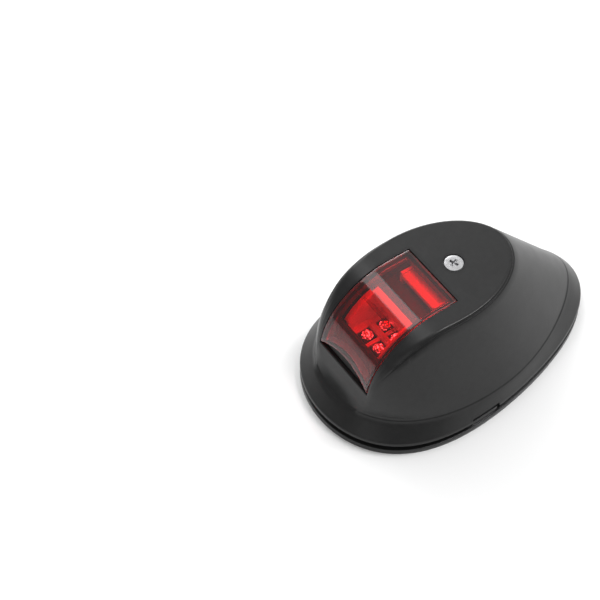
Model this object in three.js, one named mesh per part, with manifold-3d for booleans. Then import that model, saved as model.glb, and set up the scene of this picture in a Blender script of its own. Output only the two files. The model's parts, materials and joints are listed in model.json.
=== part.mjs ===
// Side-mount navigation light: a wedge-shaped shell over a flat base plate, with a curved coloured
// lens let into the nose and a small lamp module standing behind it.
// Millimetres, +X toward the lens end, +Z up, underside of the base plate on z = 0.
import * as THREE from 'three';
import { mergeVertices } from 'three/addons/utils/BufferGeometryUtils.js';
import Module from 'manifold-3d';

const wasm = await Module();
wasm.setup();
const { lerp } = THREE.MathUtils;

// ---------------------------------------------------------------- driving dimensions
const GAP = 0.3;                       // clearance kept between neighbouring pieces
const CUT = 1;                         // how far a cutter passes beyond the face it opens
const SINK = 0.5;                      // how far a joined solid reaches into its neighbour

const RIM = { length: 60, width: 36, egg: 0.23, nose: 0.14 };     // half length, half width
const RIM_BOTTOM_Z = 5;
const RIM_EDGE_Z = 6.2;
const SKIRT = 3.0;                     // width of the shell's lower edge
const WALL = 2.2;                      // shell thickness

const FOOT = {                         // where the wall meets the flange
  z: 13, length: 54.5, width: 34.1, egg: 0.15, nose: 0.03, tail: -0.15,
};
const CROWN = { z: 50, centre: 12, front: 38.4, rear: 33.8, width: 22.2, nose: 0.31 };
const CHEEK = { width: 1.4, length: 0.1 };   // fullness of the wall beside the lens, fullest a third up
const WALL_LEAN = 0.92;                // share of a depth into the leaning wall that shows in plan
const FLANGE_LEAN = 0.65;              // and in height where the wall meets the flange
const RIM_ROUND = 0.15;                // the rim's upper edge sits this far inside its lower one
const SKIRT_RISE = 0.6;                // underside of the flange above the rim's lower face
const SOFT = {                         // reach of the rounding of the shell's two creases
  inner: 0.6, crease: 1.6, creaseNose: 3.2, hollow: 1.2, hollowNose: 1.2, hollowTail: 1,
};

const BEND_RADIUS = 29.9;              // nose of the side profile
const BEND_X = 19.5;
const BEND_Z = CROWN.z - BEND_RADIUS;
const BEND_ANGLE = THREE.MathUtils.degToRad(84.2);
const APRON_SLOPE = 0.25;              // run over rise of the short apron below the lens

const LENS_START = 10.2;               // rear edge of the lens opening
const LENS_HALF = 14.5;                // half width of the opening
const LENS_WALL = 2.2;
const LENS_SIDE = 1.6;                 // thickness of the lens's side walls
const LENS_FLANGE = 1.6;               // how far the lens flange reaches under the shell
const LENS_FLANGE_THICK = 1.5;
const LENS_FIT = 0.35;                 // clearance at the lens's rear and lower edges
const LENS_LIP = LENS_SIDE + 0.2;      // thickness of its arched lower edge
const LENS_END = BEND_X + BEND_RADIUS * BEND_ANGLE;
const FRAME_THICK = 0.7;               // flat part of the lens seal
const SILL_DEPTH = 1.6;                // its sill below the arch, closer to the outer face
const ARCH = { foot: 0.8, rise: 4.6 }; // arched lower edge of the lens, above the opening's edge

const SCREW = {
  x: 0.8, head: 3.6, shank: 1.6, bore: 2.1, tip: 28.5, point: 0.5, taper: 1.6,
  sink: 2.15, clear: 0.35, proud: -0.05, chamfer: 0.5, recess: 1.3, armLength: 2, armHalf: 0.45,
};
const O_RING = { radius: 2.6, section: 0.7, corner: 0.3, bottom: 41.5 };
const BOSS = { radius: 4.9, bottom: 43.4 };
const POST = { radius: 4.7, top: 43.1, counterbore: 3.7 };
const INSERT = { bottom: 33, top: 41, outer: 3.15, inner: 2.0, waist: 0.5 };

const PLATE_INSET = 0.1;
const PLATE_TOP = 2.4;
const TONGUE = { outer: 3.5, inner: 5.0, top: 5.4 };
const SEAL = { outer: 2.4, inner: 3.2, bottom: 2.7, top: 4.7 };
const PAD = { outer: 4.3, inner: 7.7, top: 0.7 };
const MOUNT_HOLES = [[-24, 17], [-24, -17], [17, 23], [17, -23]];
const MOUNT_HOLE_RADIUS = 2.2;
const MOUNT_SINK = { depth: 1.2, radius: MOUNT_HOLE_RADIUS + 1.6 };
const NOTCH = { from: 4, to: 16.5, top: 7, depth: 1.8, tab: 0.8, tabTop: 4.7 };

const GROMMET = { x: -36, hole: 4.7, neck: 4.4, flange: 6.4, bore: 3.1, top: 4.4, corner: 0.5, mouth: 0.4 };
const TERMINAL = { x: -20, length: 10, width: 15, bottom: 2.7, top: 11.7, pitch: 3.6, cage: 1.5, well: 1.9 };
const LEAD = { radius: 0.8, z: 5.4, padX: 15, padY: 7 };

const BOARD = { rear: 12.5, front: 39.6, half: 10.7, bottom: 25, top: 26.6 };
const BOARD_POST = { x: 20.9, y: 8.5, radius: 2.6, top: 24.7, bore: 1.5, depth: 10.7 };
const BOARD_SCREW = {
  shank: 1.15, head: 2.1, height: 1.4, tip: 16, taper: 0.8, crown: 0.6, hole: 1.6, slot: 0.5, slotDepth: 0.8,
};
const LED = { size: 5, body: 1.5, dome: 2.1, height: 1.9, rows: [35.4, 27.8], y: 3.6, clear: 0.4 };
const CHIP = { x: 19.5, spread: 4.5, cap: 0.45, step: 0.08 };
const TRAY = { floor: 27.1, thick: 1.3, outer: 10.4, inner: 9.2, rear: 24.2, front: 39.8, clear: 5.6 };
const BAR = { front: 28.5, top: 44.2, bottom: 38.4 };                  // light bar over the rear LEDs
const DECK = { rear: 11.3, ridge: 14.2, front: 16.6, eaves: 43.2, top: 44.1, thick: 1.4 };
const BAFFLE = { rear: 17, front: 26.1, half: 13.2, bottom: 38.9, thick: 1.2, ledge: 0.9, ledgeThick: 1.2 };
const TAB = { rear: 18.2, inner: 6.2 };                               // screw tabs of the reflector
const SHELF = { start: 31.4, end: 50.5, depth: 6.8, thick: 1, half: 12.2 };   // outward shelf of its walls
const PARTITION = { x: 31.1, thick: 1, half: 6.6, height: 2.8 };      // low wall between LED rows
const SHIELD = { x: 40.2, thick: 1.4, half: 12.2, top: 33, foot: 35.5, bottom: 2.7 };

const AROUND = 120;                    // facets round the shell
const ROUND = 24;                      // facets round small turned pieces

// ---------------------------------------------------------------- solids
function solid(geometry) {
  geometry.deleteAttribute('normal');
  geometry.deleteAttribute('uv');
  const merged = mergeVertices(geometry, 1e-4);
  const vertProperties = new Float32Array(merged.attributes.position.array);
  const triVerts = new Uint32Array(merged.index.array);
  const mesh = new wasm.Mesh({ numProp: 3, vertProperties, triVerts });
  return new wasm.Manifold(mesh);
}

function block(x0, x1, y0, y1, z0, z1) {
  const box = new THREE.BoxGeometry(x1 - x0, y1 - y0, z1 - z0);
  box.translate((x0 + x1) / 2, (y0 + y1) / 2, (z0 + z1) / 2);
  return solid(box);
}

// turned piece about a vertical axis; profile is [radius, z] from the axis back to the axis
function turned(profile, x = 0, y = 0, segments = ROUND) {
  const points = profile.map(([r, z]) => new THREE.Vector2(r, z));
  const lathe = new THREE.LatheGeometry(points, segments);
  lathe.rotateX(Math.PI / 2);
  lathe.translate(x, y, 0);
  return facingOut(lathe);
}

function rod(radius, z0, z1, x = 0, y = 0, segments = ROUND) {
  return turned([[0, z0], [radius, z0], [radius, z1], [0, z1]], x, y, segments);
}

// swaps the winding when a generated surface would face inward
function facingOut(geometry) {
  const flat = mergeVertices(geometry.index ? geometry.toNonIndexed() : geometry, 1e-4);
  const p = flat.attributes.position;
  const index = flat.index.array;
  let volume = 0;
  const [a, b, c] = [new THREE.Vector3(), new THREE.Vector3(), new THREE.Vector3()];
  for (let i = 0; i < index.length; i += 3) {
    a.fromBufferAttribute(p, index[i]);
    b.fromBufferAttribute(p, index[i + 1]);
    c.fromBufferAttribute(p, index[i + 2]);
    volume += a.dot(b.cross(c));
  }
  if (volume < 0) index.reverse();
  return solid(flat);
}

// flat plate with the given plan outline between two heights
function plate(outline, z0, z1) {
  const shape = new THREE.Shape(outline.map(([x, y]) => new THREE.Vector2(x, y)));
  const slab = new THREE.ExtrudeGeometry(shape, { depth: z1 - z0, bevelEnabled: false });
  slab.translate(0, 0, z0);
  return solid(slab);
}

// side-view polygon carried across the width
function across(sideOutline, half) {
  const shape = new THREE.Shape(sideOutline.map(([x, z]) => new THREE.Vector2(x, z)));
  const slab = new THREE.ExtrudeGeometry(shape, { depth: 2 * half, bevelEnabled: false });
  slab.rotateX(Math.PI / 2);
  slab.translate(0, half, 0);
  return solid(slab);
}

// ---------------------------------------------------------------- shell outlines
function rimPoint(t) {
  const c = Math.cos(t);
  const s = Math.sin(t);
  return [RIM.length * c, RIM.width * s * (1 + RIM.egg * c + RIM.nose * c * c)];
}

// plan section of the wall at height z
function wallPoint(t, z) {
  const c = Math.cos(t);
  const s = Math.sin(t);
  const nose = Math.max(c, 0) ** 2;
  const k = (z - FOOT.z) / (CROWN.z - FOOT.z);
  const reach = c > 0 ? CROWN.front : CROWN.rear;
  const full = c > 0 ? (27 / 4) * k * (1 - k) ** 2 : 0;     // 1 at a third of the height
  const x = lerp(FOOT.length * c, CROWN.centre + reach * c, k);
  const end = c > 0 ? FOOT.nose : FOOT.tail;
  const low = FOOT.width * s * (1 + FOOT.egg * c + end * c * c);
  const y = lerp(low, CROWN.width * s * (1 + CROWN.nose * nose), k);
  return [x * (1 + CHEEK.length * full * s * s), y + CHEEK.width * full * s * nose];
}

// moves a point of a closed plan curve inward, square to the curve
function inset(curve, t, distance) {
  const step = 1e-3;
  const [x, y] = curve(t);
  const [xa, ya] = curve(t - step);
  const [xb, yb] = curve(t + step);
  const length = Math.hypot(xb - xa, yb - ya);
  return [x - distance * (yb - ya) / length, y + distance * (xb - xa) / length];
}

function rimOutline(distance, count = AROUND) {
  return Array.from({ length: count }, (_, i) => inset(rimPoint, 2 * Math.PI * i / count, distance));
}

function rimRing(outer, inner, z0, z1) {
  return plate(rimOutline(outer), z0, z1).subtract(plate(rimOutline(inner), z0 - CUT, z1 + CUT));
}

// side profile: s runs along the outer face from x = 0, depth is measured square into the shell
function profilePoint(s, depth) {
  if (s <= BEND_X) return [s, CROWN.z - depth];
  const angle = Math.min((s - BEND_X) / BEND_RADIUS, BEND_ANGLE);
  const radius = BEND_RADIUS - depth;
  const x = BEND_X + radius * Math.sin(angle);
  const z = BEND_Z + radius * Math.cos(angle);
  const drop = Math.max(s - LENS_END, 0) / Math.hypot(1, APRON_SLOPE);
  return [x + drop * APRON_SLOPE, z - drop];
}

// furthest forward the profile reaches at height z, and the s value there
function profileAt(z, depth) {
  const [footX, footZ] = profilePoint(LENS_END, depth);
  if (z < footZ) {
    const drop = footZ - z;
    return { x: footX + drop * APRON_SLOPE, s: LENS_END + drop * Math.hypot(1, APRON_SLOPE) };
  }
  const radius = BEND_RADIUS - depth;
  const angle = Math.acos(Math.min((z - BEND_Z) / radius, 1));
  return { x: BEND_X + radius * Math.sin(angle), s: BEND_X + BEND_RADIUS * angle };
}

// height at which the wall line at t runs into the side profile
function creaseHeight(t, depth) {
  let low = FOOT.z;
  let high = CROWN.z - depth;
  const wall = (z) => inset((u) => wallPoint(u, z), t, WALL_LEAN * depth)[0];
  if (wall(high) <= BEND_X) return high;
  for (let i = 0; i < 40; i += 1) {
    const middle = (low + high) / 2;
    if (wall(middle) <= profileAt(middle, depth).x) low = middle;
    else high = middle;
  }
  return low;
}

// ---------------------------------------------------------------- shell surface
const OPENING_MIDDLE = (LENS_START + LENS_END) / 2;
const OPENING_HALF = (LENS_END - LENS_START) / 2;

function creasePoint(t, depth) {
  const z = creaseHeight(t, depth);
  const [x, y] = inset((u) => wallPoint(u, z), t, WALL_LEAN * depth);
  const s = x <= BEND_X ? x : profileAt(z, depth).s;
  return { s, y, z };
}

// point of the opening's edge seen from its middle in the same direction as the crease at t
function openingPoint(t) {
  const { s, y } = creasePoint(t, 0);
  const ds = s - OPENING_MIDDLE;
  const scale = Math.min(OPENING_HALF / Math.abs(ds), LENS_HALF / Math.abs(y));
  return { s: OPENING_MIDDLE + ds * scale, y: y * scale };
}

// one line of the shell from the opening's edge over the crease and flange to the lower edge
function shellLine(t, depth) {
  const edge = openingPoint(t);
  const crease = creasePoint(t, depth);
  const line = [];
  const capSteps = 24;
  for (let i = 0; i < capSteps; i += 1) {
    const s = lerp(edge.s, crease.s, i / capSteps);
    const [x, z] = profilePoint(s, depth);
    line.push(new THREE.Vector3(x, lerp(edge.y, crease.y, i / capSteps), z));
  }
  const footZ = FOOT.z - FLANGE_LEAN * depth;
  const wallSteps = 12;
  for (let i = 0; i <= wallSteps; i += 1) {
    const z = lerp(crease.z, footZ, i / wallSteps);
    const [x, y] = inset((u) => wallPoint(u, Math.max(z, FOOT.z)), t, WALL_LEAN * depth);
    line.push(new THREE.Vector3(x, y, z));
  }
  const [ex, ey] = inset(rimPoint, t, depth > 0 ? SKIRT : RIM_ROUND);
  const edgeZ = depth > 0 ? RIM_BOTTOM_Z + SKIRT_RISE : RIM_EDGE_Z;
  line.push(new THREE.Vector3(ex, ey, edgeZ));
  return { line, corners: [capSteps, capSteps + wallSteps] };
}

// softness of the two corners: the crease under the top and the hollow above the flange
function softness(t, depth) {
  const front = Math.max(Math.cos(t), 0) ** 1.5;
  const rear = Math.max(-Math.cos(t), 0) ** 1.5;
  return {
    crease: depth > 0 ? SOFT.inner : SOFT.crease + SOFT.creaseNose * front,
    hollow: SOFT.hollow + SOFT.hollowNose * front + SOFT.hollowTail * rear,
  };
}

function pointAlong(line, lengths, distance) {
  let i = 1;
  while (i < line.length - 1 && lengths[i] < distance) i += 1;
  const k = (distance - lengths[i - 1]) / (lengths[i] - lengths[i - 1]);
  return line[i - 1].clone().lerp(line[i], THREE.MathUtils.clamp(k, 0, 1));
}

// samples a shell line with both corners rounded by averaging over a short reach
function shellRow(t, depth) {
  const { line, corners } = shellLine(t, depth);
  const lengths = [0];
  for (let i = 1; i < line.length; i += 1) {
    lengths.push(lengths[i - 1] + line[i].distanceTo(line[i - 1]));
  }
  const total = lengths[lengths.length - 1];
  const [crease, hollow] = corners.map((i) => lengths[i]);
  const soft = softness(t, depth);
  const gap = hollow - crease;
  const reachA = Math.min(soft.crease, 0.8 * crease);
  const reachB = Math.min(soft.hollow, 0.85 * (total - hollow));
  const stations = [
    0,
    0.5 * (crease - reachA),
    crease - reachA,
    crease - 0.35 * reachA,
    crease + Math.min(0.35 * reachA, 0.15 * gap),
    crease + Math.min(reachA, 0.35 * gap),
    hollow - Math.min(reachB, 0.55 * gap),
    hollow - Math.min(0.45 * reachB, 0.25 * gap),
    hollow,
    hollow + 0.45 * reachB,
    hollow + reachB,
    total,
  ];
  return stations.map((at) => {
    const blend = THREE.MathUtils.smoothstep(at, crease, Math.max(hollow, crease + 0.1));
    const reach = Math.min(lerp(reachA, reachB, blend), at, total - at);
    const sum = new THREE.Vector3();
    const taps = 12;
    for (let i = 0; i < taps; i += 1) {
      const shift = reach * ((2 * i + 1) / taps - 1);
      sum.add(pointAlong(line, lengths, at + shift));
    }
    return sum.divideScalar(taps);
  });
}

// angles round the shell, with the four corners of the lens opening always among them
function shellAngles() {
  const corner = Math.atan2(LENS_HALF, OPENING_HALF);
  const bearing = (t) => {
    const { s, y } = creasePoint(t, 0);
    return Math.atan2(y, s - OPENING_MIDDLE);
  };
  const solve = (target) => {
    let low = 1e-3;
    let high = Math.PI - 1e-3;
    for (let i = 0; i < 40; i += 1) {
      const middle = (low + high) / 2;
      if (bearing(middle) < target) low = middle;
      else high = middle;
    }
    return low;
  };
  const front = solve(corner);
  const rear = solve(Math.PI - corner);
  const stops = [0, front, rear, Math.PI];
  const counts = [7, 18, 11];
  const half = [];
  counts.forEach((count, part) => {
    for (let i = 0; i < count; i += 1) half.push(lerp(stops[part], stops[part + 1], i / count));
  });
  const mirrored = half.slice(1).map((t) => 2 * Math.PI - t).reverse();
  return [...half, Math.PI, ...mirrored];
}

function shellSurface() {
  const rows = shellAngles().map((t) => {
    const outside = shellRow(t, 0);
    const [bx, by] = inset(rimPoint, t, 0);
    const [sx, sy] = inset(rimPoint, t, SKIRT);
    const inside = shellRow(t, WALL).reverse();
    const edge = [new THREE.Vector3(bx, by, RIM_BOTTOM_Z), new THREE.Vector3(sx, sy, RIM_BOTTOM_Z)];
    return [...outside, ...edge, ...inside];
  });
  const count = rows.length;
  const span = rows[0].length;
  const positions = rows.flat().flatMap((p) => [p.x, p.y, p.z]);
  const index = [];
  for (let i = 0; i < count; i += 1) {
    for (let j = 0; j < span; j += 1) {
      const a = i * span + j;
      const b = ((i + 1) % count) * span + j;
      const c = ((i + 1) % count) * span + ((j + 1) % span);
      const d = i * span + ((j + 1) % span);
      index.push(a, b, c, a, c, d);
    }
  }
  const geometry = new THREE.BufferGeometry();
  geometry.setAttribute('position', new THREE.Float32BufferAttribute(positions, 3));
  geometry.setIndex(index);
  return facingOut(geometry);
}

// strip of the rim's outer edge between two x values, used for the pry notch and the tab below it
function rimStrip(x0, x1, outer, inner, z0, z1) {
  const ring = rimRing(outer, inner, z0, z1);
  return ring.intersect(block(x0, x1, 0, RIM.length, z0 - CUT, z1 + CUT));
}

// ---------------------------------------------------------------- cover
function housingCover() {
  const boss = rod(BOSS.radius, BOSS.bottom, CROWN.z - WALL / 2, SCREW.x);
  const sinkRadius = SCREW.head + SCREW.clear;
  const land = 0.1;                    // short upright edge at the mouth of the countersink
  const bore = turned([
    [0, BOSS.bottom - CUT],
    [SCREW.bore, BOSS.bottom - CUT],
    [SCREW.bore, CROWN.z - SCREW.sink],
    [sinkRadius, CROWN.z - land],
    [sinkRadius, CROWN.z + CUT],
    [0, CROWN.z + CUT],
  ], SCREW.x);
  const notch = rimStrip(NOTCH.from, NOTCH.to, -CUT, NOTCH.depth, RIM_BOTTOM_Z - CUT, NOTCH.top);
  return shellSurface().add(boss).subtract(bore).subtract(notch);
}

// slice of the profile between two stations and two depths, carried across the width
function profileBand(s0, s1, d0, d1, half) {
  const steps = 26;
  const stations = [s0];
  for (let i = 0; i <= steps; i += 1) {
    const s = lerp(BEND_X, s1, i / steps);
    if (s > s0 + 1e-6) stations.push(s);
  }
  const outer = stations.map((s) => profilePoint(s, d0));
  const inner = stations.map((s) => profilePoint(s, d1)).reverse();
  return across([...inner, ...outer].reverse(), half);
}

const FRAME_DEPTH = WALL + GAP + 0.1;
const LENS_FLANGE_DEPTH = FRAME_DEPTH + FRAME_THICK + GAP;

// everything under the arched lower edge of the lens, raised by the given amount
function underArch(raise) {
  const half = LENS_HALF + 4;
  const steps = 20;
  const edge = [];
  for (let i = 0; i <= steps; i += 1) {
    const y = lerp(-half, half, i / steps);
    const bow = ARCH.rise * Math.max(1 - (y / LENS_HALF) ** 2, -0.4);
    const s = LENS_END - ARCH.foot - bow - raise;
    edge.push([profilePoint(s, 0)[1], y]);
  }
  const outline = [[RIM_BOTTOM_Z, half], [RIM_BOTTOM_Z, -half], ...edge];
  const shape = new THREE.Shape(outline.map(([z, y]) => new THREE.Vector2(z, y)));
  const reach = { from: 36, depth: 20 };
  const slab = new THREE.ExtrudeGeometry(shape, { depth: reach.depth, bevelEnabled: false });
  slab.rotateY(-Math.PI / 2);
  slab.translate(reach.from + reach.depth, 0, 0);
  return facingOut(slab);
}

function lens() {
  const half = LENS_HALF - GAP;
  const foot = LENS_FLANGE_DEPTH + GAP;
  const start = LENS_START + LENS_FIT;
  const end = LENS_END - LENS_FIT;
  const window = profileBand(start, end, 0, foot, half);
  const flange = profileBand(
    LENS_START - LENS_FLANGE,
    LENS_END + LENS_FLANGE,
    LENS_FLANGE_DEPTH,
    LENS_FLANGE_DEPTH + LENS_FLANGE_THICK,
    LENS_HALF + LENS_FLANGE,
  );
  const below = LENS_FLANGE_DEPTH + LENS_FLANGE_THICK + CUT;
  const hollow = profileBand(start + LENS_SIDE, end - LENS_SIDE, LENS_WALL, below, half - LENS_SIDE);
  return window.subtract(underArch(0)).add(flange).subtract(hollow.subtract(underArch(LENS_LIP)));
}

// flat frame between lens flange and shell, with a sill that fills the arch below the lens
function lensSeal() {
  const back = FRAME_DEPTH + FRAME_THICK;
  const border = { side: 0.8, foot: 0.6, sill: 0.2 };
  const foot = LENS_END + border.foot;
  const sillTop = LENS_END - ARCH.rise - 2.4;
  const half = LENS_HALF - GAP;
  const frame = profileBand(LENS_START - LENS_FLANGE, foot, FRAME_DEPTH, back, LENS_HALF + border.side);
  const hole = profileBand(LENS_START, LENS_END - border.sill, FRAME_DEPTH - CUT, back + CUT, LENS_HALF);
  const sill = profileBand(sillTop, LENS_END - LENS_FIT, SILL_DEPTH, back, half);
  const root = profileBand(sillTop, LENS_END + GAP, FRAME_DEPTH, back, half);
  return frame.subtract(hole).add(sill.add(root).intersect(underArch(-GAP)));
}

// ---------------------------------------------------------------- cover screw
// two crossed slots cut into the top of a screw head
function crossSlot(x, y, reach, half, bottom, top) {
  const along = block(x - reach, x + reach, y - half, y + half, bottom, top);
  return along.add(block(x - half, x + half, y - reach, y + reach, bottom, top));
}

function coverScrew() {
  const { x, head, shank, tip, point, taper, sink, proud, chamfer, recess, armLength, armHalf } = SCREW;
  const top = CROWN.z + proud;
  const edge = { bottom: top - 0.35, top: top - 0.1 };
  const body = turned([
    [0, tip],
    [point, tip],
    [shank, tip + taper],
    [shank, CROWN.z - sink],
    [head, edge.bottom],
    [head, edge.top],
    [head - chamfer, top],
    [0, top],
  ], x);
  return body.subtract(crossSlot(x, 0, armLength, armHalf, top - recess, top + CUT));
}

function screwORing() {
  const { radius, section, corner, bottom } = O_RING;
  const [inner, outer] = [radius - section, radius + section];
  const top = bottom + 2 * section;
  return turned([
    [inner, bottom + corner],
    [inner + corner, bottom],
    [outer - corner, bottom],
    [outer, bottom + corner],
    [outer, top - corner],
    [outer - corner, top],
    [inner + corner, top],
    [inner, top - corner],
    [inner, bottom + corner],
  ], SCREW.x);
}

// ---------------------------------------------------------------- base
function basePlate() {
  const joined = PLATE_TOP - SINK;
  let body = plate(rimOutline(PLATE_INSET), 0, PLATE_TOP);
  body = body.add(rimRing(TONGUE.outer, TONGUE.inner, joined, TONGUE.top));
  body = body.add(rod(POST.radius, joined, POST.top, SCREW.x));
  for (const side of [1, -1]) {
    const y = side * BOARD_POST.y;
    const { x, radius, top, bore, depth } = BOARD_POST;
    body = body.add(rod(radius, joined, top, x, y));
    body = body.subtract(rod(bore, top - depth, top + CUT, x, y));
  }
  const { from, to, tab, depth, tabTop } = NOTCH;
  body = body.add(rimStrip(from + GAP, to - GAP, tab, depth + GAP, joined, tabTop));
  body = body.subtract(rimRing(PAD.outer - GAP, PAD.inner + GAP, -CUT, PAD.top + GAP));
  body = body.subtract(rod(INSERT.outer + GAP, INSERT.bottom - GAP, INSERT.top + GAP, SCREW.x));
  body = body.subtract(rod(POST.counterbore, INSERT.top, POST.top + CUT, SCREW.x));
  body = body.subtract(rod(SCREW.bore, SCREW.tip - 2 * CUT, INSERT.top, SCREW.x));
  body = body.subtract(rod(GROMMET.hole, -CUT, PLATE_TOP + CUT, GROMMET.x));
  for (const [x, y] of MOUNT_HOLES) {
    const hole = turned([
      [0, -CUT],
      [MOUNT_HOLE_RADIUS, -CUT],
      [MOUNT_HOLE_RADIUS, PLATE_TOP - MOUNT_SINK.depth],
      [MOUNT_SINK.radius, PLATE_TOP],
      [MOUNT_SINK.radius, PLATE_TOP + CUT],
      [0, PLATE_TOP + CUT],
    ], x, y);
    body = body.subtract(hole);
  }
  return body;
}

// threaded bush with a turned waist that keeps it in its post
function threadedInsert() {
  const { bottom, top, outer, inner, waist } = INSERT;
  const middle = (bottom + top) / 2;
  const [throat, shoulder] = [0.6, 1.0];
  return turned([
    [inner, bottom],
    [outer - waist, bottom],
    [outer, bottom + waist],
    [outer, middle - shoulder],
    [outer - waist, middle - throat],
    [outer - waist, middle + throat],
    [outer, middle + shoulder],
    [outer, top - waist],
    [outer - waist, top],
    [inner, top],
    [inner, bottom],
  ], SCREW.x);
}

function wireGrommet() {
  const { bore, neck, flange, top, corner, mouth } = GROMMET;
  const seat = PLATE_TOP + GAP;
  return turned([
    [bore, GAP],
    [neck, GAP],
    [neck, seat],
    [flange, seat],
    [flange, top - corner],
    [flange - 1.2 * corner, top],
    [bore + mouth, top],
    [bore, top - mouth],
    [bore, GAP],
  ], GROMMET.x);
}

// ---------------------------------------------------------------- wiring
function terminalBlock() {
  const { x, length, width, bottom, top, pitch, cage, well } = TERMINAL;
  let body = block(x - length / 2, x + length / 2, -width / 2, width / 2, bottom, top);
  for (const side of [1, -1]) {
    const y = side * pitch;
    const [low, high] = [LEAD.z - cage, LEAD.z + cage];
    body = body.subtract(block(x - length, x + length, y - cage, y + cage, low, high));
    body = body.subtract(rod(well, LEAD.z + LEAD.radius, top + CUT, x, y));
  }
  const slit = { half: 0.5, depth: 2.5 };
  return body.subtract(block(x - length, x + length, -slit.half, slit.half, top - slit.depth, top + CUT));
}

function terminalScrew(side) {
  const { x, pitch, well } = TERMINAL;
  const y = side * pitch;
  const [clear, below] = [0.4, 0.6];   // round the screw in its well, and under the block's top
  const top = TERMINAL.top - below;
  const slot = { half: 0.3, depth: 0.8 };
  const body = rod(well - clear, LEAD.z + LEAD.radius + clear, top, x, y);
  return body.subtract(block(x - well, x + well, y - slot.half, y + slot.half, top - slot.depth, top + CUT));
}

// insulated lead from the terminal, along the floor and up through its pad in the board
function lead(side) {
  const { z, padX, padY } = LEAD;
  const route = [
    [-22.5, TERMINAL.pitch, z],
    [-18, TERMINAL.pitch, z],
    [-12, TERMINAL.pitch, z],
    [-6, 6, z],
    [2, 7.8, z + 0.6],
    [9, 7.6, z + 3.6],
    [13.2, 7.2, z + 9],
    [padX, padY, BOARD.bottom - 5],
    [padX, padY, BOARD.bottom],
    [padX, padY, BOARD.top + 0.9],
  ];
  const path = new THREE.CatmullRomCurve3(route.map(([x, y, h]) => new THREE.Vector3(x, side * y, h)));
  const circle = new THREE.Shape();
  circle.absarc(0, 0, LEAD.radius, 0, 2 * Math.PI, false);
  const options = { steps: 36, curveSegments: 4, bevelEnabled: false, extrudePath: path };
  return facingOut(new THREE.ExtrudeGeometry(circle, options));
}

// ---------------------------------------------------------------- lamp module
function ledBoard() {
  const { rear, front, half, bottom, top } = BOARD;
  const [low, high] = [bottom - CUT, top + CUT];
  let body = block(rear, front, -half, half, bottom, top);
  for (const side of [1, -1]) {
    body = body.subtract(rod(BOARD_SCREW.hole, low, high, BOARD_POST.x, side * BOARD_POST.y));
    body = body.subtract(rod(LEAD.radius + 0.35, low, high, LEAD.padX, side * LEAD.padY));
  }
  return body;
}

// square package with a domed lens
function led(row, side) {
  const x = LED.rows[row];
  const y = side * LED.y;
  const half = LED.size / 2;
  const z = BOARD.top + GAP;
  const shoulder = z + LED.body;
  const body = block(x - half, x + half, y - half, y + half, z, shoulder);
  const profile = [[0, shoulder - SINK], [LED.dome, shoulder - SINK]];
  const steps = 5;
  for (let i = 0; i < steps; i += 1) {
    const a = (i / steps) * Math.PI / 2;
    profile.push([LED.dome * Math.cos(a), shoulder + LED.height * Math.sin(a)]);
  }
  profile.push([0, shoulder + LED.height]);
  return body.add(turned(profile, x, y));
}

// surface-mount part with slightly smaller end caps
function chip(y, sizeX, sizeY, height) {
  const z = BOARD.top + GAP;
  const { x, cap, step } = CHIP;
  const [endX, endY] = [sizeX / 2, sizeY / 2];
  const body = block(x - endX + cap, x + endX - cap, y - endY, y + endY, z, z + height);
  const low = z + step;
  const high = z + height - step;
  return body.add(block(x - endX, x + endX, y - endY + step, y + endY - step, low, high));
}

function boardScrew(side) {
  const { shank, head, height, tip, taper, crown, slot, slotDepth } = BOARD_SCREW;
  const seat = TRAY.floor + TRAY.thick + GAP;
  const x = BOARD_POST.x;
  const y = side * BOARD_POST.y;
  const top = seat + height;
  const body = turned([
    [0, tip],
    [shank, tip + taper],
    [shank, seat],
    [head, seat],
    [head, top - slot],
    [head - crown, top],
    [0, top],
  ], x, y);
  return body.subtract(crossSlot(x, y, slot * 2.2, slot / 2, top - slotDepth, top + CUT));
}

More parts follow.
